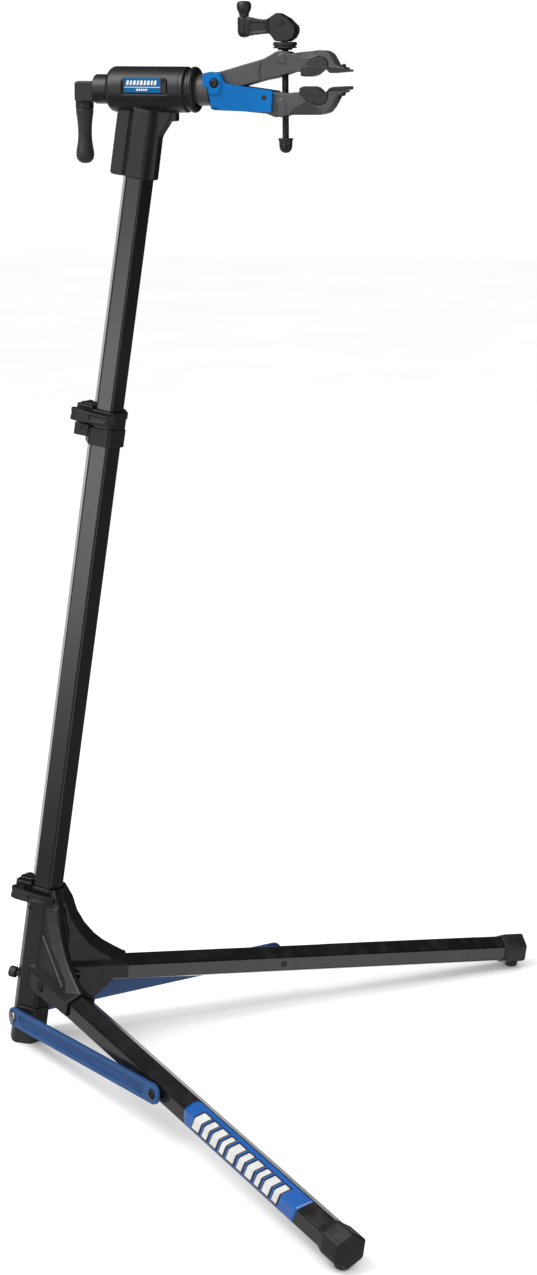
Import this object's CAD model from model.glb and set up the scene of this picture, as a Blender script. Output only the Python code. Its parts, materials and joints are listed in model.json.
# A clamping stand. Its mast rises from the origin and leans towards +X, one leg runs out to
# each side (rear +Y, front -Y), and the head runs along X near the top. A screw with a cam
# lever closes a pair of jaws at its +X end. The camera looks from the -Y side. Metres, +Z up.
import json
import math

import bmesh
import bpy
import numpy as np
from mathutils import Matrix, Vector

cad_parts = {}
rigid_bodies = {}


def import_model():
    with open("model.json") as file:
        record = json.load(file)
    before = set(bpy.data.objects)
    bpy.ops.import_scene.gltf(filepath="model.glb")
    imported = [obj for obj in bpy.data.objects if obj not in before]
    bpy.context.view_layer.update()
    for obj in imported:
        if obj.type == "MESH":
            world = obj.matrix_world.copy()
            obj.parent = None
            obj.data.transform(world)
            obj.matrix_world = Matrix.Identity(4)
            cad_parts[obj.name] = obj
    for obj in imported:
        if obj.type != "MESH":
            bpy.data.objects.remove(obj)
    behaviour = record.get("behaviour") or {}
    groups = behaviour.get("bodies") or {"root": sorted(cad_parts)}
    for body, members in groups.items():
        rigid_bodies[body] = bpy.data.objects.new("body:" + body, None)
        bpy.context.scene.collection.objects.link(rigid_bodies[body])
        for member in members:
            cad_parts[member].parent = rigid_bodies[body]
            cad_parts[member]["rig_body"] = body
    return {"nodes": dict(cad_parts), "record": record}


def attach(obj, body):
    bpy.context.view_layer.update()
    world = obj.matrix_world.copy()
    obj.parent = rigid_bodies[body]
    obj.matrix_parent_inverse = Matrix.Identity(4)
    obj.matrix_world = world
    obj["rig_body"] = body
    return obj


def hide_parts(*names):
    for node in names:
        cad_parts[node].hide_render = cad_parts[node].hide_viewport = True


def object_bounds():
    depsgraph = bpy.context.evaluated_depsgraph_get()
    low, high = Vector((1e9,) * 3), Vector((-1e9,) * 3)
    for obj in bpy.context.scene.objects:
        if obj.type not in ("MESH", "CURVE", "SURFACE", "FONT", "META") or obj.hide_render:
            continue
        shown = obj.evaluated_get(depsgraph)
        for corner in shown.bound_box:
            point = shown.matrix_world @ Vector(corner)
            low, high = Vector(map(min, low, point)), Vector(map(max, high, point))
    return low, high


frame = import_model()
CAD_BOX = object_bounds()
NODES = frame["nodes"]
SLOT = {part["node"]: part["material_slot"] for part in frame["record"]["subparts"]}
SIDES = (-1, 1)                       # -Y, then +Y

# ---------------------------------------------------------------------------
# frames of the object
# ---------------------------------------------------------------------------
MAST_LEAN = math.radians(8.39)        # from vertical towards +X
LEG_SPREAD = math.radians(39.43)      # of each leg plane from the XZ plane
LEG_RISE = math.radians(0.74)         # of a leg above its plane's X
LEG_Z = 0.1013                        # where the leg line meets the mast
STRAP_Z = 0.0345                      # where the strap line meets the mast
STRAP_REACH = 0.362                   # far end of the strap, measured along the leg
HEAD_Z = 1.272
ROD_X, ROD_Z = 0.3608, 1.256          # point the clamp screw tilts about
ROD_TILT = math.radians(1.0)          # from vertical towards -X
CAM_Z = 1.3483                        # cam pivot on the screw
LEVER_REACH = 0.051                   # from the screw to the knob's axis


def turn_y(angle):
    return Matrix.Rotation(angle, 4, "Y")


def move(x, y, z):
    return Matrix.Translation((x, y, z))


REAR = turn_y(MAST_LEAN) @ Matrix.Rotation(LEG_SPREAD, 4, "Z")
FRONT = Matrix.Diagonal((1, -1, 1, 1)) @ REAR
LEG_PLANES = (("rear", REAR), ("front", FRONT))
LEG_LINE = move(0, 0, LEG_Z) @ turn_y(-LEG_RISE)
strap_run = STRAP_REACH * math.cos(LEG_RISE)
strap_climb = LEG_Z + STRAP_REACH * math.sin(LEG_RISE) - STRAP_Z
STRAP_LENGTH = math.hypot(strap_run, strap_climb)
STRAP_LINE = move(0, 0, STRAP_Z) @ turn_y(-math.atan2(strap_climb, strap_run))
HEAD_AXIS = move(0, 0, HEAD_Z) @ turn_y(math.pi / 2)      # local z runs along +X
TILT = move(ROD_X, 0, ROD_Z) @ turn_y(-ROD_TILT) @ move(-ROD_X, 0, -ROD_Z)
LEVER_END = TILT @ move(ROD_X - LEVER_REACH, 0, CAM_Z)


# ---------------------------------------------------------------------------
# shader graph helpers
# ---------------------------------------------------------------------------
class Graph:
    """an emptied node tree, with a short call for each kind of node"""

    def __init__(self, owner):
        owner.use_nodes = True
        self.tree = owner.node_tree
        self.tree.nodes.clear()

    def node(self, kind, **settings):
        node = self.tree.nodes.new(kind)
        for key, value in settings.items():
            setattr(node, key, value)
        return node

    def link(self, source, target):
        self.tree.links.new(source, target)

    def put(self, socket, value):
        """link a socket, or set a plain value"""
        if isinstance(value, bpy.types.NodeSocket):
            self.link(value, socket)
        else:
            socket.default_value = value

    def math(self, operation, a, b, clamp=False):
        node = self.node("ShaderNodeMath", operation=operation, use_clamp=clamp)
        self.put(node.inputs[0], a)
        self.put(node.inputs[1], b)
        return node.outputs[0]

    def dot(self, a, b):
        node = self.node("ShaderNodeVectorMath", operation="DOT_PRODUCT")
        self.put(node.inputs[0], a)
        self.put(node.inputs[1], b)
        return node.outputs[1]

    def ramp(self, value, start, end, low=0.0, high=1.0):
        """smooth step from low at start to high at end"""
        node = self.node("ShaderNodeMapRange", interpolation_type="SMOOTHSTEP")
        self.put(node.inputs["Value"], value)
        node.inputs["From Min"].default_value = start
        node.inputs["From Max"].default_value = end
        node.inputs["To Min"].default_value = low
        node.inputs["To Max"].default_value = high
        return node.outputs["Result"]

    def mix(self, factor, a, b):
        node = self.node("ShaderNodeMix", data_type="RGBA")
        self.put(node.inputs["Factor"], factor)
        for socket, value in ((node.inputs[6], a), (node.inputs[7], b)):
            self.put(socket, (*value, 1) if isinstance(value, tuple) else value)
        return node.outputs[2]

    def noise(self, vector, scale, detail):
        node = self.node("ShaderNodeTexNoise")
        self.link(vector, node.inputs["Vector"])
        node.inputs["Scale"].default_value = scale
        node.inputs["Detail"].default_value = detail
        node.inputs["Roughness"].default_value = 0.55
        return node.outputs["Fac"]

    def voronoi(self, vector, scale):
        node = self.node("ShaderNodeTexVoronoi", feature="F1")
        self.link(vector, node.inputs["Vector"])
        node.inputs["Scale"].default_value = scale
        return node.outputs["Distance"]

    def mapping(self, vector, scale, rotation=(0, 0, 0)):
        node = self.node("ShaderNodeMapping")
        self.link(vector, node.inputs["Vector"])
        node.inputs["Rotation"].default_value = rotation
        node.inputs["Scale"].default_value = scale
        return node.outputs[0]

    def split(self, vector):
        node = self.node("ShaderNodeSeparateXYZ")
        self.link(vector, node.inputs[0])
        return node.outputs

    def bump(self, height, strength, distance, normal=None):
        node = self.node("ShaderNodeBump")
        node.inputs["Strength"].default_value = strength
        node.inputs["Distance"].default_value = distance
        self.link(height, node.inputs["Height"])
        if normal is not None:
            self.link(normal, node.inputs["Normal"])
        return node.outputs["Normal"]

    def mix_shader(self, factor, a, b):
        node = self.node("ShaderNodeMixShader")
        for socket, source in zip(node.inputs, (factor, a, b)):
            self.link(source, socket)
        return node.outputs[0]


# ---------------------------------------------------------------------------
# finishes
# ---------------------------------------------------------------------------
def drifted(g, value, noise, amount):
    """value moved up and down by a noise centred on 0.5"""
    return g.math("ADD", g.math("MULTIPLY", g.math("SUBTRACT", noise, 0.5), amount), value)


def rub_edges(g, place, normal, colour, edge, amount):
    """lighter, patchy wear on sharp edges; also returns the rounded normal"""
    bevel = g.node("ShaderNodeBevel", samples=4)
    bevel.inputs["Radius"].default_value = 0.0009
    wear = g.ramp(g.dot(bevel.outputs[0], normal), start=0.995, end=0.80)
    patches = g.ramp(g.noise(place, scale=160.0, detail=4.0), start=0.38, end=0.70)
    wear = g.math("MULTIPLY", g.math("MULTIPLY", wear, patches), amount)
    return g.mix(wear, colour, edge), bevel.outputs[0]


def add_scratches(g, place, colour, rough, base, amount):
    """fine slanting scratches, only in some areas"""
    stretched = g.mapping(place, scale=(900, 25, 60), rotation=(0.5, 0.9, 0.3))
    lines = g.ramp(g.noise(stretched, scale=1.0, detail=2.0), start=0.72, end=0.80)
    areas = g.ramp(g.noise(place, scale=9.0, detail=2.0), start=0.45, end=0.6)
    lines = g.math("MULTIPLY", lines, areas)
    pale = tuple(min(1, c * 2.2 + 0.06) for c in base)
    colour = g.mix(g.math("MULTIPLY", lines, amount), colour, pale)
    return colour, g.math("ADD", rough, g.math("MULTIPLY", lines, 0.12))


def add_dust(g, place, normal, colour, rough, amount):
    """dust near the floor, most of it on faces that look up"""
    low = g.ramp(g.split(place)["Z"], start=0.14, end=0.0)
    patches = g.ramp(g.noise(place, scale=45.0, detail=5.0), start=0.42, end=0.75)
    dust = g.math("MULTIPLY", low, patches)
    upward = g.ramp(g.split(normal)["Z"], start=-0.1, end=0.9, low=0.35, high=1.0)
    dust = g.math("MULTIPLY", g.math("MULTIPLY", dust, upward), amount)
    colour = g.mix(dust, colour, (0.22, 0.20, 0.18))
    return colour, g.math("ADD", rough, g.math("MULTIPLY", dust, 0.3), clamp=True)


def make_finish(name, base, alt, rough, grain, rvar=0.08, metal=0.0, spec=0.5, cloud=14.0,
                edge=None, edge_amt=0.5, scratch=0.0, dust=0.0, coat=0.0, coat_rough=0.2,
                sheen=0.0, streak=None, pits=None):
    """One procedural finish.

    base, alt: colours it drifts between, over noise of scale cloud; rvar: roughness drift;
    grain: bump as (noise scale, strength, distance); edge: colour of rubbed edges;
    streak: noise scale along x, y, z; pits: scale of small pits
    """
    material = bpy.data.materials.new(name)
    g = Graph(material)
    output = g.node("ShaderNodeOutputMaterial")
    shader = g.node("ShaderNodeBsdfPrincipled")
    g.link(shader.outputs[0], output.inputs["Surface"])
    place = g.node("ShaderNodeTexCoord").outputs["Object"]
    if edge or dust:
        normal = g.node("ShaderNodeNewGeometry").outputs["Normal"]
    grain_scale, grain_strength, grain_distance = grain

    drift = g.ramp(g.noise(place, cloud, detail=4.0), start=0.35, end=0.68)
    colour = g.mix(drift, base, alt)
    height = g.noise(place, grain_scale, detail=2.0)
    roughness = drifted(g, rough, g.noise(place, cloud * 4.3, detail=3.0), rvar * 2)
    if streak:
        streaks = g.noise(g.mapping(place, streak), scale=1.0, detail=3.0)
        shift = g.math("MULTIPLY", g.math("SUBTRACT", streaks, 0.5), 0.25)
        roughness = g.math("ADD", roughness, shift)
        height = g.math("ADD", height, g.math("MULTIPLY", streaks, 0.8))
    if pits:
        pit = g.ramp(g.voronoi(place, pits), start=0.0, end=0.35, low=1.0, high=0.0)
        height = g.math("SUBTRACT", height, g.math("MULTIPLY", pit, 0.6))
    rounded = None
    if edge:
        colour, rounded = rub_edges(g, place, normal, colour, edge, edge_amt)
    bumped = g.bump(height, grain_strength, grain_distance, rounded)
    if scratch:
        colour, roughness = add_scratches(g, place, colour, roughness, base, scratch)
    if dust:
        colour, roughness = add_dust(g, place, normal, colour, roughness, dust)

    for socket, value in (
            ("Base Color", colour), ("Roughness", roughness), ("Metallic", metal),
            ("Specular IOR Level", spec), ("Coat Weight", coat),
            ("Coat Roughness", coat_rough), ("Sheen Weight", sheen), ("Normal", bumped)):
        g.put(shader.inputs[socket], value)
    return material


FINISHES = {
    "tube_black": dict(
        base=(0.0036, 0.0033, 0.0034), alt=(0.0056, 0.0051, 0.0053), rough=0.22, rvar=0.05,
        spec=0.55, grain=(1500.0, 0.10, 0.00006), cloud=6.0, edge=(0.055, 0.052, 0.052),
        edge_amt=0.35, scratch=0.10, dust=0.10, coat=0.25, coat_rough=0.16),
    "cast_black": dict(
        base=(0.0060, 0.0056, 0.0057), alt=(0.0092, 0.0087, 0.0089), rough=0.40, rvar=0.07,
        spec=0.40, grain=(2200.0, 0.32, 0.00012), cloud=18.0, edge=(0.075, 0.073, 0.072),
        edge_amt=0.45, scratch=0.08, dust=0.10, pits=1400.0),
    "jaw_grey": dict(
        base=(0.040, 0.041, 0.043), alt=(0.054, 0.055, 0.057), rough=0.46, metal=0.15,
        grain=(2400.0, 0.35, 0.00012), cloud=24.0, edge=(0.16, 0.16, 0.165), scratch=0.10,
        pits=1500.0),
    "clamp_blue": dict(
        base=(0.0, 0.098, 0.305), alt=(0.0, 0.112, 0.345), rough=0.48, rvar=0.06, spec=0.12,
        grain=(1700.0, 0.22, 0.0001), cloud=20.0, edge=(0.02, 0.24, 0.50), edge_amt=0.55,
        scratch=0.08),
    "strap_blue": dict(
        base=(0.006, 0.050, 0.165), alt=(0.009, 0.062, 0.195), rough=0.44, spec=0.45,
        grain=(1700.0, 0.22, 0.0001), cloud=16.0, edge=(0.06, 0.19, 0.42), edge_amt=0.55,
        scratch=0.14, dust=0.10),
    "black_plastic": dict(
        base=(0.0070, 0.0068, 0.0071), alt=(0.0105, 0.0103, 0.0106), rough=0.46, rvar=0.06,
        spec=0.45, grain=(3000.0, 0.40, 0.00010), cloud=22.0, edge=(0.050, 0.049, 0.049),
        edge_amt=0.4, scratch=0.06, dust=0.12),
    "black_rubber": dict(
        base=(0.0085, 0.0085, 0.0088), alt=(0.0135, 0.0133, 0.0135), rough=0.52, spec=0.4,
        grain=(2600.0, 0.45, 0.00014), cloud=30.0, edge=(0.035, 0.034, 0.034),
        edge_amt=0.35, sheen=0.08),
    "shaft_brown": dict(
        base=(0.050, 0.041, 0.043), alt=(0.064, 0.054, 0.056), rough=0.42, metal=0.25,
        spec=0.45, grain=(1500.0, 0.2, 0.00008), cloud=60.0, edge=(0.20, 0.19, 0.19),
        streak=(20, 700, 700)),
    "nylon_glide": dict(
        base=(0.045, 0.045, 0.047), alt=(0.058, 0.058, 0.060), rough=0.5, spec=0.4,
        grain=(1500.0, 0.2, 0.0001), edge=(0.10, 0.10, 0.10), edge_amt=0.3),
    "black_steel": dict(
        base=(0.020, 0.020, 0.022), alt=(0.030, 0.029, 0.030), rough=0.34, rvar=0.10,
        metal=0.75, grain=(1500.0, 0.2, 0.00008), cloud=60.0, edge=(0.20, 0.195, 0.19),
        edge_amt=0.6, scratch=0.10),
    "bright_steel": dict(
        base=(0.36, 0.36, 0.37), alt=(0.47, 0.47, 0.48), rough=0.30, rvar=0.10, metal=1.0,
        grain=(1200.0, 0.15, 0.00006), cloud=70.0, edge=(0.7, 0.7, 0.7), edge_amt=0.4,
        streak=(30, 900, 900)),
    "plate_dark": dict(
        base=(0.006, 0.0065, 0.008), alt=(0.008, 0.0085, 0.010), rough=0.30, rvar=0.04,
        spec=0.4, grain=(900.0, 0.05, 0.00003), cloud=30.0, edge=(0.04, 0.04, 0.045),
        edge_amt=0.3),
    "film_blue": dict(
        base=(0.001, 0.070, 0.29), alt=(0.002, 0.080, 0.33), rough=0.30, rvar=0.04,
        grain=(800.0, 0.06, 0.00003), cloud=26.0, scratch=0.05, coat=0.5, coat_rough=0.12),
    "film_white": dict(
        base=(0.54, 0.54, 0.53), alt=(0.62, 0.62, 0.61), rough=0.32, rvar=0.04,
        grain=(900.0, 0.06, 0.00003), cloud=40.0, scratch=0.04, coat=0.4, coat_rough=0.15),
    "film_dark": dict(
        base=(0.008, 0.009, 0.012), alt=(0.011, 0.012, 0.016), rough=0.30, rvar=0.04,
        grain=(900.0, 0.06, 0.00003), cloud=40.0, coat=0.4, coat_rough=0.15),
    "film_label": dict(
        base=(0.0, 0.078, 0.205), alt=(0.0, 0.086, 0.225), rough=0.34, rvar=0.04, spec=0.12,
        grain=(800.0, 0.06, 0.00003), cloud=26.0),
    "channel_blue": dict(
        base=(0.006, 0.040, 0.135), alt=(0.008, 0.050, 0.165), rough=0.55, rvar=0.06,
        spec=0.35, grain=(1500.0, 0.3, 0.0001), cloud=24.0),
}
MATERIALS = {name: make_finish(name, **look) for name, look in FINISHES.items()}


# ---------------------------------------------------------------------------
# solids as (vertices, faces)
# ---------------------------------------------------------------------------
def placed(vertices, world):
    return [tuple(world @ Vector(v)) for v in vertices] if world is not None else vertices


def lathe(profile, steps, world=None):
    """closed solid of revolution about z from (radius, z) points"""
    vertices, faces, rows = [], [], []
    for radius, z in profile:
        first = len(vertices)
        if radius < 1e-7:
            rows.append([first] * steps)
            vertices.append((0, 0, z))
        else:
            rows.append([first + i for i in range(steps)])
            angles = [2 * math.pi * i / steps for i in range(steps)]
            vertices += [(radius * math.cos(a), radius * math.sin(a), z) for a in angles]
    count = len(rows)
    # a profile that stays off the axis closes on itself
    is_ring = profile[0][0] > 1e-7 and profile[-1][0] > 1e-7
    for j in range(count if is_ring else count - 1):
        lower, upper = rows[j], rows[(j + 1) % count]
        for i in range(steps):
            after = (i + 1) % steps
            face = list(dict.fromkeys((lower[i], lower[after], upper[after], upper[i])))
            if len(face) > 2:
                faces.append(face)
    return placed(vertices, world), faces


def prism(near, y0, y1, world=None, far=None):
    """closed solid from the (x, z) outline near at y0 to the outline far (or near) at y1"""
    count = len(near)
    vertices = [(x, y0, z) for x, z in near] + [(x, y1, z) for x, z in far or near]
    faces = [list(range(count)), list(range(2 * count - 1, count - 1, -1))]
    for i in range(count):
        after = (i + 1) % count
        faces.append([i, after, count + after, count + i])
    return placed(vertices, world), faces


def slab(near, y0, y1, world=None, far=None):
    """prism given in millimetres"""
    near, far = ([(x / 1000, z / 1000) for x, z in line or ()] for line in (near, far))
    return prism(near, y0 / 1000, y1 / 1000, world, far)


def arc(x, z, radius, start, end, steps=14):
    """points on an arc, angles in degrees from +X towards +Z"""
    angles = [math.radians(start + (end - start) * i / steps) for i in range(steps + 1)]
    return [(x + radius * math.cos(a), z + radius * math.sin(a)) for a in angles]


def rectangle(x0, x1, z0, z1):
    return [(x0, z0), (x1, z0), (x1, z1), (x0, z1)]


def stroke(line, width):
    """closed outline of a stroke along a polyline"""
    points = [Vector(p) for p in line]
    left, right = [], []
    for i, point in enumerate(points):
        along = (points[min(i + 1, len(points) - 1)] - points[max(i - 1, 0)]).normalized()
        across = Vector((-along.y, along.x)) * (width / 2)
        left.append(tuple(point + across))
        right.append(tuple(point - across))
    return left + right[::-1]


def joined(solids):
    all_vertices, all_faces = [], []
    for vertices, faces in solids:
        offset = len(all_vertices)
        all_vertices += vertices
        all_faces += [[i + offset for i in face] for face in faces]
    return all_vertices, all_faces


# ---------------------------------------------------------------------------
# meshes and objects
# ---------------------------------------------------------------------------
def shade_smooth(mesh):
    mesh.update()
    mesh.polygons.foreach_set("use_smooth", [True] * len(mesh.polygons))


def add_object(name, mesh):
    obj = bpy.data.objects.new(name, mesh)
    bpy.context.scene.collection.objects.link(obj)
    return obj


def mount(obj, body, replaced=None):
    """tell the frame which body an object rides and the CAD node it stands for"""
    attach(obj, body)
    if replaced:
        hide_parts(replaced)


def build(name, solid, material, body, smooth=True, world=None, replaced=None):
    mesh = bpy.data.meshes.new(name)
    vertices, faces = solid
    mesh.from_pydata([tuple(v) for v in vertices], [], faces)
    mesh.validate()
    bm = bmesh.new()
    bm.from_mesh(mesh)
    bmesh.ops.recalc_face_normals(bm, faces=bm.faces)
    bm.to_mesh(mesh)
    bm.free()
    if world is not None:
        mesh.transform(world)
        if world.determinant() < 0:
            mesh.flip_normals()
    mesh.update()
    if smooth:
        shade_smooth(mesh)
    obj = add_object(name, mesh)
    mesh.materials.append(MATERIALS[material])
    mount(obj, body, replaced)


def cad_bmesh(node):
    """a CAD node with its seams welded"""
    bm = bmesh.new()
    bm.from_mesh(NODES[node].data)
    bmesh.ops.remove_doubles(bm, verts=bm.verts, dist=2e-6)
    return bm


def solid_bmesh(solid):
    bm = bmesh.new()
    vertices = [bm.verts.new(v) for v in solid[0]]
    for face in solid[1]:
        # bmesh refuses a face that exists already or repeats a vertex
        try:
            bm.faces.new([vertices[i] for i in face])
        except ValueError:
            pass
    bmesh.ops.recalc_face_normals(bm, faces=bm.faces)
    return bm


def merge(target, part):
    """move one bmesh into another"""
    mesh = bpy.data.meshes.new("part")
    part.to_mesh(mesh)
    part.free()
    target.from_mesh(mesh)
    bpy.data.meshes.remove(mesh)


def work_object(bm):
    mesh = bpy.data.meshes.new("work")
    bm.to_mesh(mesh)
    bm.free()
    return add_object("work", mesh)


def baked(obj):
    """mesh of an object with its modifiers applied"""
    depsgraph = bpy.context.evaluated_depsgraph_get()
    depsgraph.update()
    return bpy.data.meshes.new_from_object(obj.evaluated_get(depsgraph))


def add_cutters(obj, solids):
    cutters = []
    for solid in solids:
        cutter = work_object(solid_bmesh(solid))
        cutters.append(cutter)
        cut = obj.modifiers.new("cut", "BOOLEAN")
        cut.operation = "DIFFERENCE"
        cut.solver = "EXACT"
        cut.object = cutter
    return cutters


def add_remesh(obj, voxel):
    remesh = obj.modifiers.new("remesh", "REMESH")
    remesh.mode = "VOXEL"
    remesh.voxel_size = voxel
    remesh.adaptivity = 0.0


def add_edge_bevel(obj, width):
    bevel = obj.modifiers.new("edge", "BEVEL")
    bevel.width = width
    bevel.segments = 2
    bevel.limit_method = "ANGLE"
    bevel.angle_limit = math.radians(35)


def relax(mesh, passes):
    """Taubin smoothing: rounds edges and keeps most of the volume"""
    shrink, swell = 0.5, -0.46
    count = len(mesh.vertices)
    places = np.empty(count * 3, np.float32)
    mesh.vertices.foreach_get("co", places)
    places = places.reshape(-1, 3).astype(np.float64)
    edges = np.empty(len(mesh.edges) * 2, np.int32)
    mesh.edges.foreach_get("vertices", edges)
    edges = edges.reshape(-1, 2)
    neighbours = np.bincount(edges.ravel(), minlength=count).astype(float)
    neighbours[neighbours == 0] = 1
    for _ in range(passes):
        for factor in (shrink, swell):
            total = np.zeros_like(places)
            for axis in range(3):
                total[:, axis] = (np.bincount(edges[:, 0], places[edges[:, 1], axis], count)
                                  + np.bincount(edges[:, 1], places[edges[:, 0], axis], count))
            places = places + (total / neighbours[:, None] - places) * factor
    mesh.vertices.foreach_set("co", places.astype(np.float32).ravel())
    mesh.update()


def skin(node, material, voxel, passes, keep, bosses=(), pockets=()):
    """One continuous skin over a CAD node.

    Bosses are united with it, pockets are cut, and the result is remeshed, relaxed and
    thinned to the share keep of its faces.
    """
    whole = bmesh.new()
    merge(whole, cad_bmesh(node))
    for boss in bosses:
        merge(whole, solid_bmesh(boss))
    source = work_object(whole)
    add_remesh(source, voxel)
    mesh = baked(source)
    if pockets:
        source.modifiers.clear()
        raw = source.data
        source.data = mesh
        bpy.data.meshes.remove(raw)
        cutters = add_cutters(source, pockets)
        add_remesh(source, voxel)
        mesh = baked(source)
        for cutter in cutters:
            bpy.data.objects.remove(cutter)
    bpy.data.objects.remove(source)
    relax(mesh, passes)
    shade_smooth(mesh)

    obj = add_object(node + "_skin", mesh)
    obj.modifiers.new("thin", "DECIMATE").ratio = keep
    thinned = baked(obj)
    obj.modifiers.clear()
    obj.data = thinned
    bpy.data.meshes.remove(mesh)
    shade_smooth(thinned)
    thinned.name = obj.name
    thinned.materials.clear()
    thinned.materials.append(MATERIALS[material])
    mount(obj, NODES[node]["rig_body"], node)


def dress(node, material, bevel):
    """keep a CAD node, with its finish and small rolled edges"""
    obj = NODES[node]
    obj.data.materials.clear()
    obj.data.materials.append(MATERIALS[material])
    for polygon in obj.data.polygons:
        polygon.material_index = 0
    obj.modifiers.new("weld", "WELD").merge_threshold = 2e-6
    flat = obj.modifiers.new("flat", "DECIMATE")
    flat.decimate_type = "DISSOLVE"
    flat.angle_limit = math.radians(0.6)
    add_edge_bevel(obj, bevel)
    weighted = obj.modifiers.new("wn", "WEIGHTED_NORMAL")
    weighted.keep_sharp = False
    weighted.weight = 80


# ---------------------------------------------------------------------------
# bosses and pockets of the castings; outlines are (x, z) in mm, depths are y in mm
# ---------------------------------------------------------------------------
def upper_jaw_details():
    dome = arc(361.6, 1305.2, 12.9, 10, 170)
    arched_boss = [(354.9, 1303.6), (364.3, 1303.6), (364.3, 1309.6),
                   *arc(359.6, 1309.6, 4.7, 0, 180, 10), (354.9, 1309.6)]
    seam = stroke([(334.8, 1303.6), (333.0, 1299.0), (331.9, 1293.5), (332.6, 1287.5),
                   (334.8, 1281.5)], 1.9)
    shoulder = [(372.5, 1317.4), (376.5, 1312.8), (382, 1310.2), (392, 1308.8),
                (398, 1310.4), (403, 1314.4), (408.5, 1320.0), (408.5, 1326), (372.5, 1326)]
    shoulder_deep = [(x, max(z, 1320.6)) for x, z in shoulder]
    groove = rectangle(416.5, 432, 1302.6, 1313.6)
    fillet = [(372, 1294.4), (384.4, 1293.6), (390.0, 1301.0), (384, 1302), (374, 1298)]
    bosses, pockets = [], []
    for side in SIDES:
        bosses += [slab(dome, side * 5.8, side * 12.7),
                   slab(arched_boss, side * 12.0, side * 14.1)]
        pockets += [slab(seam, side * 11.6, side * 15.0),
                    slab(shoulder, side * 13.8, side * 4.2, far=shoulder_deep),
                    slab(groove, side * 9.2, side * 11.0)]
    return bosses + [slab(fillet, -12.9, 12.9)], pockets


def lower_jaw_details():
    oval = [(359.8 + 5.6 * math.cos(math.radians(a)), 1251.2 + 10.6 * math.sin(math.radians(a)))
            for a in range(0, 360, 12)]
    # a slanting crease, with the belly scooped away below it
    belly = [(367.0, 1236.0), (368.6, 1243.6), (373.0, 1250.0), (380.0, 1255.2),
             (392.0, 1261.6), (396.4, 1257.6), (402.5, 1254.0), (409.0, 1251.0),
             (412.0, 1246.4), (412.0, 1236.0)]
    belly_deep = [(x, min(z, 1242.4)) for x, z in belly]
    fillet = [(372, 1270.0), (383.0, 1270.8), (388.4, 1263.4), (384, 1262.6), (374, 1266)]
    bosses = [slab(oval, side * 12.0, side * 14.2) for side in SIDES]
    pockets = [slab(belly, side * 13.8, side * 3.6, far=belly_deep) for side in SIDES]
    return bosses + [slab(fillet, -12.9, 12.9)], pockets


def pad_details(outline, trim):
    """a jaw pad filled to its outline, with its -X end trimmed straight"""
    return [slab(outline, -13.7, 13.7)], [slab(rectangle(*trim), -20, 20)]


LOWER_PAD = [
    (380.4, 1268.8), (379.4, 1272.8), (382.6, 1275.4), (387.0, 1277.2), (396.0, 1277.2),
    (401.0, 1276.0), (409.2, 1268.9), (413.2, 1268.9), (416.4, 1272.0), (416.3, 1262.3),
    (413, 1257.4), (404, 1255.4), (396, 1257.9), (388, 1263.4)]
UPPER_PAD = [
    (380.8, 1296.4), (379.0, 1293.2), (382.4, 1290.0), (387.2, 1288.6), (393.0, 1288.7),
    (396.5, 1289.6), (400.4, 1291.2), (409.2, 1298.5), (413.2, 1298.5), (416.3, 1295.6),
    (416.3, 1305.7), (413, 1309.8), (404, 1311.2), (396.5, 1308.2), (389, 1301.4)]


def cam_lever_details():
    """outlines are measured from the cam pivot"""
    def lever_slab(outline, y0, y1):
        moved = [(ROD_X * 1000 + x, CAM_Z * 1000 + z) for x, z in outline]
        return slab(moved, y0, y1, TILT)

    arm_top = [(-51.0, 4.0), (-18.5, 3.0), (-18.5, 7.0), (-27.0, 6.7), (-35.0, 7.8),
               (-43.0, 9.6), (-51.0, 10.0)]
    underside = [(-46.5, -15.2), (-36.0, -15.2), (-36.0, -10.2), (-41.0, -11.4),
                 (-44.0, -12.4), (-46.5, -13.4)]
    lip = [(-53.0, -15.2), (-43.0, -15.2), (-43.0, -9.0), (-45.0, -11.5), (-48.0, -13.2),
           (-53.0, -13.6)]
    panel = [(-42.5, 3.4), (-22.5, 3.0), (-22.5, -7.4), (-42.5, -8.6)]
    # (radius, z) in metres, about the knob's axis
    hub_top = [(0, 0.0050), (0.0079, 0.0050), (0.0079, 0.0088), (0.0072, 0.0098),
               (0.0060, 0.0101), (0, 0.0101)]
    below_hub = [(0, -0.0150), (0.00815, -0.0150), (0.00815, -0.0055), (0.0078, -0.0085),
                 (0.0070, -0.0108), (0.0052, -0.0128), (0.0026, -0.0137), (0, -0.0139)]
    bosses = [lathe(hub_top, 40, LEVER_END), lever_slab(arm_top, -6.3, 6.3)]
    pockets = [lathe(below_hub, 40, LEVER_END), lever_slab(underside, -12.5, 12.5),
               lever_slab(lip, 4.8, 12.5), lever_slab(lip, -12.5, -4.8)]
    return bosses, pockets + [lever_slab(panel, side * 5.7, side * 9.5) for side in SIDES]


def head_casting_details():
    """rolled rim round the +X end of the head; (radius, x) in metres"""
    rim = [(0.0196, 0.2484), (0.0196, 0.2502), (0.0212, 0.2508), (0.0236, 0.2507),
           (0.0256, 0.2499), (0.0270, 0.2484), (0.0275, 0.2464), (0.0275, 0.2440),
           (0.0256, 0.2436), (0.0250, 0.2484)]
    return [lathe(rim, 64, HEAD_AXIS)], []


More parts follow.
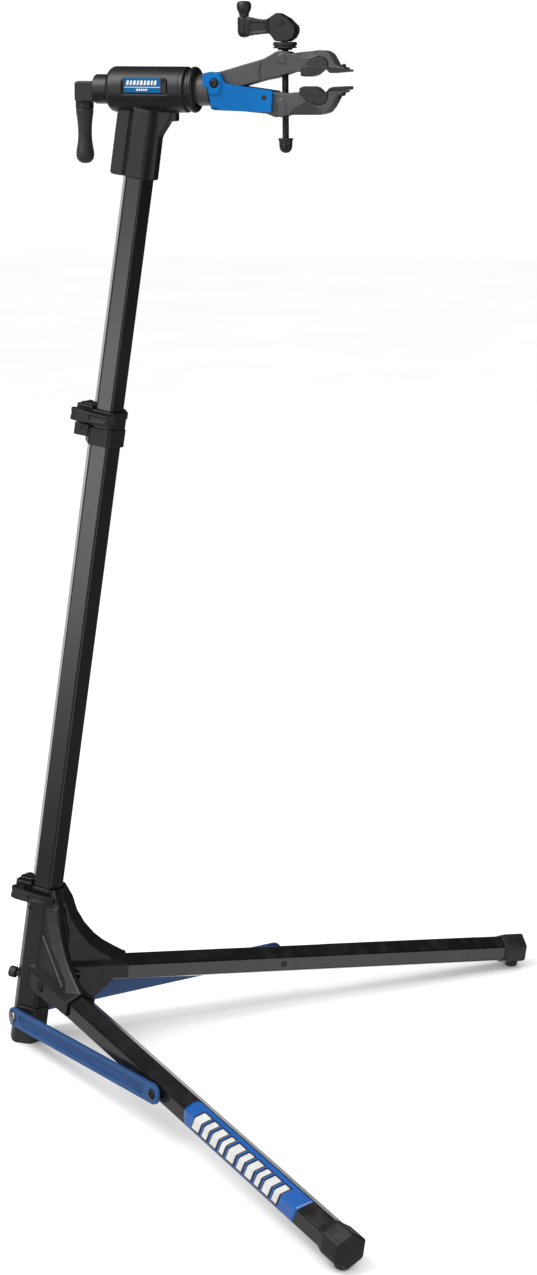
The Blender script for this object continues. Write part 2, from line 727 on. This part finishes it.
def jaw_bracket_details():
    """raised cheeks round the jaw pivot, a bore for the shaft and a sink in each cheek"""
    cheek = [(262.2, 1289.4), (262.2, 1277.2), (263.8, 1275.2), (268.9, 1274.6),
             (270.2, 1267.2), (279.5, 1266.4), (284.5, 1270.0), (285.6, 1285.0),
             (283.6, 1291.2), (272.0, 1292.0), (264.0, 1290.6)]
    bridge = [(268.4, 1268.0), (272.2, 1290.0), (283.0, 1290.0), (283.0, 1268.0)]
    bore = [(0, 0.250), (0.01915, 0.250), (0.01915, 0.2682), (0, 0.2682)]
    bosses = []
    for side in SIDES:
        bosses += [slab(cheek, side * 17.6, side * 20.6), slab(bridge, side * 15.0, side * 19.0)]
    sinks = [slab(arc(277.0, 1280.0, 5.9, 0, 345, 24), side * 18.1, side * 23.0)
             for side in SIDES]
    return bosses, [sinks[0], lathe(bore, 56, HEAD_AXIS), sinks[1]]


DETAILS = {
    "upper_jaw": upper_jaw_details(),
    "lower_jaw": lower_jaw_details(),
    "lower_jaw_pad": pad_details(LOWER_PAD, trim=(370, 382.0, 1255, 1285)),
    "upper_jaw_pad": pad_details(UPPER_PAD, trim=(370, 383.2, 1280, 1305)),
    "cam_lever": cam_lever_details(),
    "head_casting": head_casting_details(),
    "jaw_bracket": jaw_bracket_details(),
}
SKINS = (
    # node, material, voxel size, relaxing passes, share of faces kept
    ("leg_collar", "cast_black", 0.0011, 10, 0.35),
    ("head_casting", "cast_black", 0.0009, 8, 0.35),
    ("height_clamp", "cast_black", 0.0007, 8, 0.4),
    ("mast_foot", "black_plastic", 0.0007, 8, 0.4),
    ("upper_jaw", "jaw_grey", 0.0007, 8, 0.4),
    ("lower_jaw", "jaw_grey", 0.0007, 8, 0.4),
    ("jaw_bracket", "clamp_blue", 0.0006, 6, 0.4),
    ("cam_lever", "cast_black", 0.0005, 9, 0.4),
    ("lock_handle_hub", "cast_black", 0.0006, 9, 0.4),
    ("height_qr_lever", "black_plastic", 0.0004, 7, 0.4),
    ("collar_qr_lever", "black_plastic", 0.0004, 7, 0.4),
    ("rear_leg_cap", "black_plastic", 0.0007, 7, 0.4),
    ("front_leg_cap", "black_plastic", 0.0007, 7, 0.4),
    ("upper_jaw_pad", "black_rubber", 0.0005, 6, 0.4),
    ("lower_jaw_pad", "black_rubber", 0.0005, 6, 0.4),
)
for node, material, voxel, passes, keep in SKINS:
    skin(node, material, voxel, passes, keep, *DETAILS.get(node, ((), ())))


# ---------------------------------------------------------------------------
# clamp screw with a helical thread, and an eye on the cam pivot
# ---------------------------------------------------------------------------
def threaded_rod():
    pitch, outer_radius, depth = 0.0016, 0.0043, 0.00062
    root_flat, flank = 0.12, 0.76          # shares of half a pitch
    fade_bottom, fade_top = 0.0015, 0.001  # lengths over which the thread runs out
    end_drop = 0.0006                      # radius lost at the very ends
    bottom, top = ROD_Z - 0.0515, CAM_Z - 0.0045
    rows, sides = int((top - bottom) / pitch * 8), 28
    vertices, faces = [], []
    for j in range(rows + 1):
        z = bottom + (top - bottom) * j / rows
        fade = min(1.0, (z - bottom) / fade_bottom, (top - z) / fade_top)
        for i in range(sides):
            phase = (z / pitch - i / sides) % 1.0
            rise = min(1.0, max(0.0, (abs(phase * 2 - 1) - root_flat) / flank))
            radius = outer_radius - depth * (1 - rise) * fade - (1 - fade) * end_drop
            angle = 2 * math.pi * i / sides
            vertices.append((ROD_X + radius * math.cos(angle), radius * math.sin(angle), z))
    for j in range(rows):
        for i in range(sides):
            a, b = j * sides + i, j * sides + (i + 1) % sides
            faces.append([a, b, b + sides, a + sides])
    faces.append(list(range(sides))[::-1])
    faces.append([rows * sides + i for i in range(sides)])
    return placed(vertices, TILT), faces


EYE = [(0.0031, -0.0040), (0.0060, -0.0040), (0.0066, -0.0034), (0.0066, 0.0034),
       (0.0060, 0.0040), (0.0031, 0.0040)]             # (radius, y)
eye_frame = TILT @ move(ROD_X, 0, CAM_Z) @ Matrix.Rotation(math.pi / 2, 4, "X")
build("clamp_screw_thread", joined([threaded_rod(), lathe(EYE, 40, eye_frame)]),
      "black_steel", "screw", replaced="clamp_screw")

# ---------------------------------------------------------------------------
# printed film on the outer side of each leg: blue field, dark keyline, white slanted bars
# x runs along the leg; s runs round the tube, 0 mid-way up the outer flat, positive up
# ---------------------------------------------------------------------------
TUBE_WIDTH, TUBE_CORNER = 0.0352, 0.0044       # hexagonal tube: across flats, corner radius
FIELD_X, FIELD_S = (0.4230, 0.6770), (-0.0088, 0.0294)
FIELD_ROUND = 0.009                            # corner radius at the low-x end
FIELD_SLANT = 0.012                            # x the other end loses at its lower edge
BAR_S = (-0.0052, 0.0222)
BAR_SKEW = (BAR_S[1] - BAR_S[0]) * 0.30
BAR_START, BAR_GAP = FIELD_X[0] + 0.020, 0.0078
BAR_WIDTHS = (0.0150, 0.0105, 0.0130, 0.0085, 0.0150, 0.0105, 0.0130, 0.0085, 0.0130, 0.0100)
KEY_X, KEY_S = (-0.0022, 0.0030), (-0.0020, 0.0016)   # how far the keyline outgrows a bar
FIELD_LIFT, FIELD_THICK = 0.00003, 0.00010
KEY_LIFT, KEY_THICK = FIELD_LIFT + FIELD_THICK, 0.00007
BAR_LIFT, BAR_THICK = KEY_LIFT + KEY_THICK, 0.00008


def on_tube(s, lift):
    """(y, z) on the tube section, y outward, lifted off the surface"""
    sign = 1 if s >= 0 else -1
    s = abs(s)
    turn = math.radians(60)
    half_flat = TUBE_WIDTH / math.sqrt(3) / 2 - TUBE_CORNER * math.tan(turn / 2)
    centre_y = TUBE_WIDTH / 2 - TUBE_CORNER
    past = s - half_flat - TUBE_CORNER * turn       # distance along the next flat
    if s <= half_flat:
        y, z, angle = TUBE_WIDTH / 2, s, 0.0
    else:
        angle = turn if past > 0 else (s - half_flat) / TUBE_CORNER
        y = centre_y + TUBE_CORNER * math.cos(angle)
        z = half_flat + TUBE_CORNER * math.sin(angle)
        if past > 0:
            y -= past * math.sin(turn)
            z += past * math.cos(turn)
    return y + math.cos(angle) * lift, sign * (z + math.sin(angle) * lift)


def tube_sheet(ends, s_range, lift, thick, columns, rows):
    """closed thin sheet on the tube; ends(v, s) gives its two x at height v (0 to 1)"""
    vertices, faces = [], []
    for layer in (lift, lift + thick):
        for j in range(rows + 1):
            v = j / rows
            s = s_range[0] + (s_range[1] - s_range[0]) * v
            x0, x1 = ends(v, s)
            y, z = on_tube(s, layer)
            vertices += [(x0 + (x1 - x0) * i / columns, y, z) for i in range(columns + 1)]
    stride = columns + 1
    count = stride * (rows + 1)
    for offset, flipped in ((0, True), (count, False)):
        for j in range(rows):
            for i in range(columns):
                a = offset + j * stride + i
                face = [a, a + 1, a + stride + 1, a + stride]
                faces.append(face[::-1] if flipped else face)
    rim = ([i for i in range(stride)]
           + [(j + 1) * stride + columns for j in range(rows)]
           + [rows * stride + i for i in range(columns - 1, -1, -1)]
           + [j * stride for j in range(rows - 1, 0, -1)])
    for a, b in zip(rim, rim[1:] + rim[:1]):
        faces.append([a, b, b + count, a + count])
    return vertices, faces


def field_ends(v, s):
    edge = min(s - FIELD_S[0], FIELD_S[1] - s)
    inset = 0
    if edge < FIELD_ROUND:
        inset = FIELD_ROUND - math.sqrt(max(0.0, FIELD_ROUND ** 2 - (FIELD_ROUND - edge) ** 2))
    return FIELD_X[0] + inset, FIELD_X[1] - FIELD_SLANT * (1 - v)


def slanted_bars(lift, thick, grow_x=(0, 0), grow_s=(0, 0)):
    sheets = []
    x = BAR_START
    s_range = (BAR_S[0] + grow_s[0], BAR_S[1] + grow_s[1])
    for width in BAR_WIDTHS:
        x0, x1 = x + grow_x[0], x + width + grow_x[1]
        sheets.append(tube_sheet(
            lambda v, s: (x0 + BAR_SKEW * v, x1 + BAR_SKEW * v),
            s_range, lift, thick, columns=8, rows=24))
        x += width + BAR_GAP
    return joined(sheets)


for side, plane in LEG_PLANES:
    leg, film = side + "_leg", side + "_leg_film"
    on_leg = plane @ LEG_LINE
    field = tube_sheet(field_ends, FIELD_S, FIELD_LIFT, FIELD_THICK, columns=60, rows=30)
    build(film, field, "film_blue", leg, world=on_leg)
    build(film + "_keyline", slanted_bars(KEY_LIFT, KEY_THICK, KEY_X, KEY_S),
          "film_dark", leg, world=on_leg)
    build(film + "_bars", slanted_bars(BAR_LIFT, BAR_THICK),
          "film_white", leg, world=on_leg)

# ---------------------------------------------------------------------------
# darker floor of the long channel in each strap
# ---------------------------------------------------------------------------
STRAP_FACE_Y, CHANNEL_DEPTH = 0.0275, 0.0019
CHANNEL_RADIUS = 0.0038
CHANNEL_INSETS = (0.0215, 0.0245)              # end centres, from each end of the strap line
channel_y = STRAP_FACE_Y - CHANNEL_DEPTH
channel = (arc(CHANNEL_INSETS[0], 0, CHANNEL_RADIUS, 90, 270, 12)
           + arc(STRAP_LENGTH - CHANNEL_INSETS[1], 0, CHANNEL_RADIUS, -90, 90, 12))
for side, plane in LEG_PLANES:
    arm = side + "_strap_arm"
    build(arm + "_channel", prism(channel, channel_y + 0.00002, channel_y + 0.00022),
          "channel_blue", arm, smooth=False, world=plane @ STRAP_LINE)

# ---------------------------------------------------------------------------
# printed film on both sides of the head: blue field, pale line, two rows of plain marks
# ---------------------------------------------------------------------------
LABEL_X = (0.1638, 0.2100)
LABEL_Z = 1.2679                               # the heights below are measured from here
LABEL_Y, LABEL_LAYER = 0.02566, 0.00012        # distance from the XZ plane, film thickness
LABEL_HEIGHTS, LINE_HEIGHTS = (0.0004, 0.0176), (0.0064, 0.0071)
LABEL_CORNER = 0.0008
UPPER_HEIGHTS, LOWER_HEIGHTS = (0.0094, 0.0146), (0.0026, 0.0048)
UPPER_START, UPPER_GAP = 0.1660, 0.0017
UPPER_WIDTHS = (0.0030, 0.0024, 0.0032, 0.0022, 0.0034, 0.0026, 0.0030, 0.0022, 0.0030)
LOWER_START, LOWER_PITCH, LOWER_WIDTH, LOWER_COUNT = 0.1790, 0.0030, 0.0020, 5


def label_outline():
    (x0, x1), r = LABEL_X, LABEL_CORNER
    z0, z1 = (LABEL_Z + height for height in LABEL_HEIGHTS)
    corners = ((x1 - r, z1 - r), (x0 + r, z1 - r), (x0 + r, z0 + r), (x1 - r, z0 + r))
    return [point for i, (x, z) in enumerate(corners)
            for point in arc(x, z, r, 90 * i, 90 * i + 90, 5)]


def mark_outline(x, width, heights):
    """a parallelogram leaning towards +X"""
    z0, z1 = (LABEL_Z + height for height in heights)
    lean = (z1 - z0) * 0.22
    return [(x, z0), (x + width, z0), (x + width + lean, z1), (x + lean, z1)]


def mark_outlines():
    marks, x = [], UPPER_START
    for width in UPPER_WIDTHS:
        marks.append(mark_outline(x, width, UPPER_HEIGHTS))
        x += width + UPPER_GAP
    return marks + [mark_outline(LOWER_START + LOWER_PITCH * i, LOWER_WIDTH, LOWER_HEIGHTS)
                    for i in range(LOWER_COUNT)]


line_outline = rectangle(*LABEL_X, *(LABEL_Z + height for height in LINE_HEIGHTS))
for tag, side in (("front", -1), ("rear", 1)):
    layers = [side * (LABEL_Y + LABEL_LAYER * i) for i in range(3)]
    marks = joined([prism(outline, layers[1], layers[2]) for outline in mark_outlines()])
    for part, solid, material in (
            ("blue", prism(label_outline(), layers[0], layers[1]), "film_label"),
            ("line", prism(line_outline, layers[1], layers[2]), "film_white"),
            ("marks", marks, "film_white")):
        build(f"head_label_{part}_{tag}", solid, material, "upper_mast",
              smooth=False)

# ---------------------------------------------------------------------------
# turned parts; profiles are (radius, z)
# ---------------------------------------------------------------------------
# small nuts of the jaw pads, domes pointing away from the gap between the jaws
PAD_NUT_X = 0.4330
PAD_NUT = [(0, -0.0008), (0.0027, -0.0008), (0.0027, 0.0016), (0.0022, 0.0029),
           (0.0012, 0.0036), (0, 0.0038)]
for name, body, z, turn in (("upper_pad_nut", "moving_jaw", 1.3000, 0.0),
                            ("lower_pad_nut", "clamp_arm", 1.2700, math.pi)):
    nut_frame = move(PAD_NUT_X, 0, z) @ Matrix.Rotation(turn, 4, "X")
    build(name, lathe(PAD_NUT, 24, nut_frame), "black_steel", body)

# crank knob: thick waist, flattened round top
KNOB = [(0.0027, 0.0104), (0.0058, 0.0104), (0.0060, 0.0112), (0.0057, 0.0123),
        (0.0060, 0.0136), (0.0068, 0.0155), (0.0079, 0.0177), (0.0086, 0.0197),
        (0.0089, 0.0220), (0.0088, 0.0240), (0.0084, 0.0257), (0.0075, 0.0271),
        (0.0056, 0.0281), (0.0030, 0.0284), (0, 0.0284), (0, 0.0256), (0.0027, 0.0256)]
build("crank_knob_turned", lathe(KNOB, 48, LEVER_END), "black_plastic",
      NODES["crank_knob"]["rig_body"], replaced="crank_knob")

# bulb at the bottom of the clamp screw, with two notches in each side
BULB_Z = ROD_Z - 0.0574
BULB = [(0, 0.0), (0.0026, 0.0003), (0.0050, 0.0016), (0.0068, 0.0038), (0.0077, 0.0066),
        (0.0080, 0.0100), (0.0082, 0.0140), (0.0090, 0.0158), (0.0091, 0.0172),
        (0.0086, 0.0176), (0.0066, 0.0176), (0.0062, 0.0166), (0, 0.0166)]
NOTCH_STARTS, NOTCH_WIDTH = (-0.0048, 0.0026), 0.0022  # x from the screw's axis
NOTCH_HEIGHTS = (-0.001, 0.0088)                       # from the bottom of the bulb


def notch(start, y0, y1):
    x = ROD_X + start
    z0, z1 = (BULB_Z + height for height in NOTCH_HEIGHTS)
    return prism(rectangle(x, x + NOTCH_WIDTH, z0, z1), y0, y1, TILT)


def build_bulb():
    source = work_object(solid_bmesh(lathe(BULB, 48, TILT @ move(ROD_X, 0, BULB_Z))))
    notches = [notch(start, y0, y1) for y0, y1 in ((-0.0095, -0.0050), (0.0050, 0.0095))
               for start in NOTCH_STARTS]
    cutters = add_cutters(source, notches)
    mesh = baked(source)
    for used in cutters + [source]:
        bpy.data.objects.remove(used)
    shade_smooth(mesh)
    bulb = add_object("clamp_screw_bulb", mesh)
    mesh.materials.clear()
    mesh.materials.append(MATERIALS["black_plastic"])
    add_edge_bevel(bulb, 0.0003)
    mount(bulb, NODES["clamp_screw_stop"]["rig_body"], "clamp_screw_stop")


build_bulb()

# ---------------------------------------------------------------------------
# the other CAD nodes, kept
# ---------------------------------------------------------------------------
REBUILT = {row[0] for row in SKINS} | {"clamp_screw", "crank_knob", "clamp_screw_stop"}
TUBES = ("lower_mast_tube", "upper_mast_tube", "rear_leg_tube", "front_leg_tube")
OTHER_FINISH = {                               # where the finish differs from the slot
    "clamp_shaft": "shaft_brown",
    "front_strap_bolt": "black_steel",
    "rear_strap_bolt": "black_steel",
    "strap_leg_bolts": "black_steel",
}
for node in NODES:
    if node not in REBUILT:
        dress(node, OTHER_FINISH.get(node, SLOT[node]),
              bevel=0.0004 if node in TUBES else 0.00025)


# ---------------------------------------------------------------------------
# stage
# ---------------------------------------------------------------------------
def floor_material():
    """pale and matt; mirror rays pass through it to the studio world"""
    material = bpy.data.materials.new("floor")
    g = Graph(material)
    output = g.node("ShaderNodeOutputMaterial")
    diffuse = g.node("ShaderNodeBsdfDiffuse")
    clear = g.node("ShaderNodeBsdfTransparent")
    place = g.node("ShaderNodeTexCoord").outputs["Object"]
    drift = g.ramp(g.noise(place, scale=1.5, detail=3.0), start=0.3, end=0.7)
    g.put(diffuse.inputs["Color"], g.mix(drift, (0.95, 0.95, 0.95), (0.97, 0.97, 0.97)))
    rays = g.node("ShaderNodeLightPath")
    mixed = g.mix_shader(rays.outputs["Is Glossy Ray"], diffuse.outputs[0], clear.outputs[0])
    g.link(mixed, output.inputs["Surface"])
    return material


def build_floor(radius=14.0, sides=64, gap=0.0002):
    """a disc just below the object"""
    material = floor_material()
    angles = [2 * math.pi * i / sides for i in range(sides)]
    rim = [(radius * math.cos(a), radius * math.sin(a), 0) for a in angles]
    mesh = bpy.data.meshes.new("studio_floor")
    mesh.from_pydata([(0, 0, 0)] + rim, [],
                     [[0, 1 + i, 1 + (i + 1) % sides] for i in range(sides)])
    floor = add_object("studio_floor", mesh)
    mesh.materials.append(material)
    floor.location = (0, 0, CAD_BOX[0].z - gap)


def reflected_studio(g):
    """brightness that mirror rays see in each direction"""
    direction = g.node("ShaderNodeTexCoord").outputs["Generated"]
    parts = g.split(direction)
    height = parts["Z"]
    level = g.node("ShaderNodeCombineXYZ")
    g.link(parts["X"], level.inputs[0])
    g.link(parts["Y"], level.inputs[1])
    normalize = g.node("ShaderNodeVectorMath", operation="NORMALIZE")
    g.link(level.outputs[0], normalize.inputs[0])
    heading = normalize.outputs[0]

    def window(azimuth, inner, outer):
        """full within inner degrees of azimuth (from -Y towards -X), nothing past outer"""
        a = math.radians(azimuth)
        facing = g.dot(heading, (-math.sin(a), -math.cos(a), 0.0))
        return g.ramp(facing, start=math.cos(math.radians(outer)),
                      end=math.cos(math.radians(inner)))

    # pale wall on the camera's side: a bright band just below the horizon
    rise = g.ramp(height, start=-0.280, end=-0.165, low=0.04, high=4.4)
    fall = g.ramp(height, start=-0.160, end=-0.040, low=1.0, high=0.15)
    band = g.math("MULTIPLY", rise, fall)
    wall = g.math("MULTIPLY", band, window(azimuth=24, inner=13, outer=34))
    total = g.math("ADD", 0.012, wall)
    low = g.ramp(height, start=0.02, end=0.16, low=1.0, high=0.0)
    for azimuth, inner, outer, gain in (
            (-62, 6, 20, 1.2),        # strip towards +X
            (150, 14, 32, 1.05),      # lit floor behind, towards +Y
            (97, 14, 34, 0.38)):      # dim wall towards -X
        lit = g.math("MULTIPLY", low, window(azimuth, inner, outer))
        total = g.math("ADD", total, g.math("MULTIPLY", lit, gain))
    floor_glow = g.ramp(height, start=-0.22, end=-0.30)
    total = g.math("ADD", total, g.math("MULTIPLY", floor_glow, 0.15))
    for centre, start, end, gain in (
            ((-0.35, -0.55, 0.75), 0.72, 0.97, 1.7),     # high box towards -X and -Y
            ((-0.15, 0.15, 1.0), 0.62, 0.97, 0.12)):     # dim ceiling
        facing = g.dot(direction, tuple(Vector(centre).normalized()))
        total = g.math("ADD", total, g.math("MULTIPLY", g.ramp(facing, start, end), gain))
    return total


def build_world():
    """mirror rays see the studio; the camera and all other rays see plain white"""
    world = bpy.data.worlds.new("studio")
    bpy.context.scene.world = world
    g = Graph(world)
    world.cycles.sampling_method = "NONE"
    output = g.node("ShaderNodeOutputWorld")
    studio = reflected_studio(g)
    rays = g.node("ShaderNodeLightPath")

    def background(colour, strength):
        node = g.node("ShaderNodeBackground")
        node.inputs["Color"].default_value = colour
        g.put(node.inputs["Strength"], strength)
        return node.outputs[0]

    mirrored = background(colour=(1.0, 0.985, 0.975, 1), strength=studio)
    ambient = background(colour=(1, 1, 1, 1), strength=1.02)
    backdrop = background(colour=(1, 1, 1, 1), strength=1.05)
    unseen = g.mix_shader(rays.outputs["Is Glossy Ray"], ambient, mirrored)
    seen = g.mix_shader(rays.outputs["Is Camera Ray"], unseen, backdrop)
    g.link(seen, output.inputs["Surface"])


def area_light(name, place, target, size, power, specular):
    light = bpy.data.lights.new(name, "AREA")
    light.shape = "RECTANGLE"
    light.size = light.size_y = size
    light.energy = power
    light.specular_factor = specular
    obj = add_object(name, light)
    obj.location = place
    obj.rotation_mode = "QUATERNION"
    obj.rotation_quaternion = (Vector(place) - Vector(target)).to_track_quat("Z", "Y")


def build_camera(place, heading, pitch, roll, lens):
    """heading turns from +Y towards -X, pitch looks down; radians"""
    level_right = Vector((math.cos(heading), math.sin(heading), 0))
    level_forward = Vector((-math.sin(heading), math.cos(heading), 0))
    forward = level_forward * math.cos(pitch) + Vector((0, 0, -math.sin(pitch)))
    level_up = level_right.cross(forward)
    right = level_right * math.cos(roll) + level_up * math.sin(roll)
    up = -level_right * math.sin(roll) + level_up * math.cos(roll)
    data = bpy.data.cameras.new("camera")
    data.sensor_fit = "AUTO"
    data.sensor_width = 36.0
    data.lens = lens
    data.clip_start, data.clip_end = 0.05, 60
    camera = add_object("camera", data)
    rows = [(right[i], up[i], -forward[i], place[i]) for i in range(3)]
    camera.matrix_world = Matrix((*rows, (0, 0, 0, 1)))
    bpy.context.scene.camera = camera


build_floor()
build_world()
area_light("key_soft", place=(-1.3, -1.2, 3.0), target=(0.3, 0, 0.4), size=1.6, power=60,
           specular=0.35)
area_light("fill_soft", place=(1.8, -2.4, 2.2), target=(0.2, 0, 0.7), size=1.6, power=16,
           specular=0.0)
build_camera(place=(1.183113, -2.7014783, 1.2927742), heading=0.3012, pitch=0.2420,
             roll=0.0067, lens=64.609)

view = bpy.context.scene.view_settings
view.view_transform = "Standard"
view.look = "None"
view.exposure = 0.0
view.gamma = 1.0

bpy.context.view_layer.update()
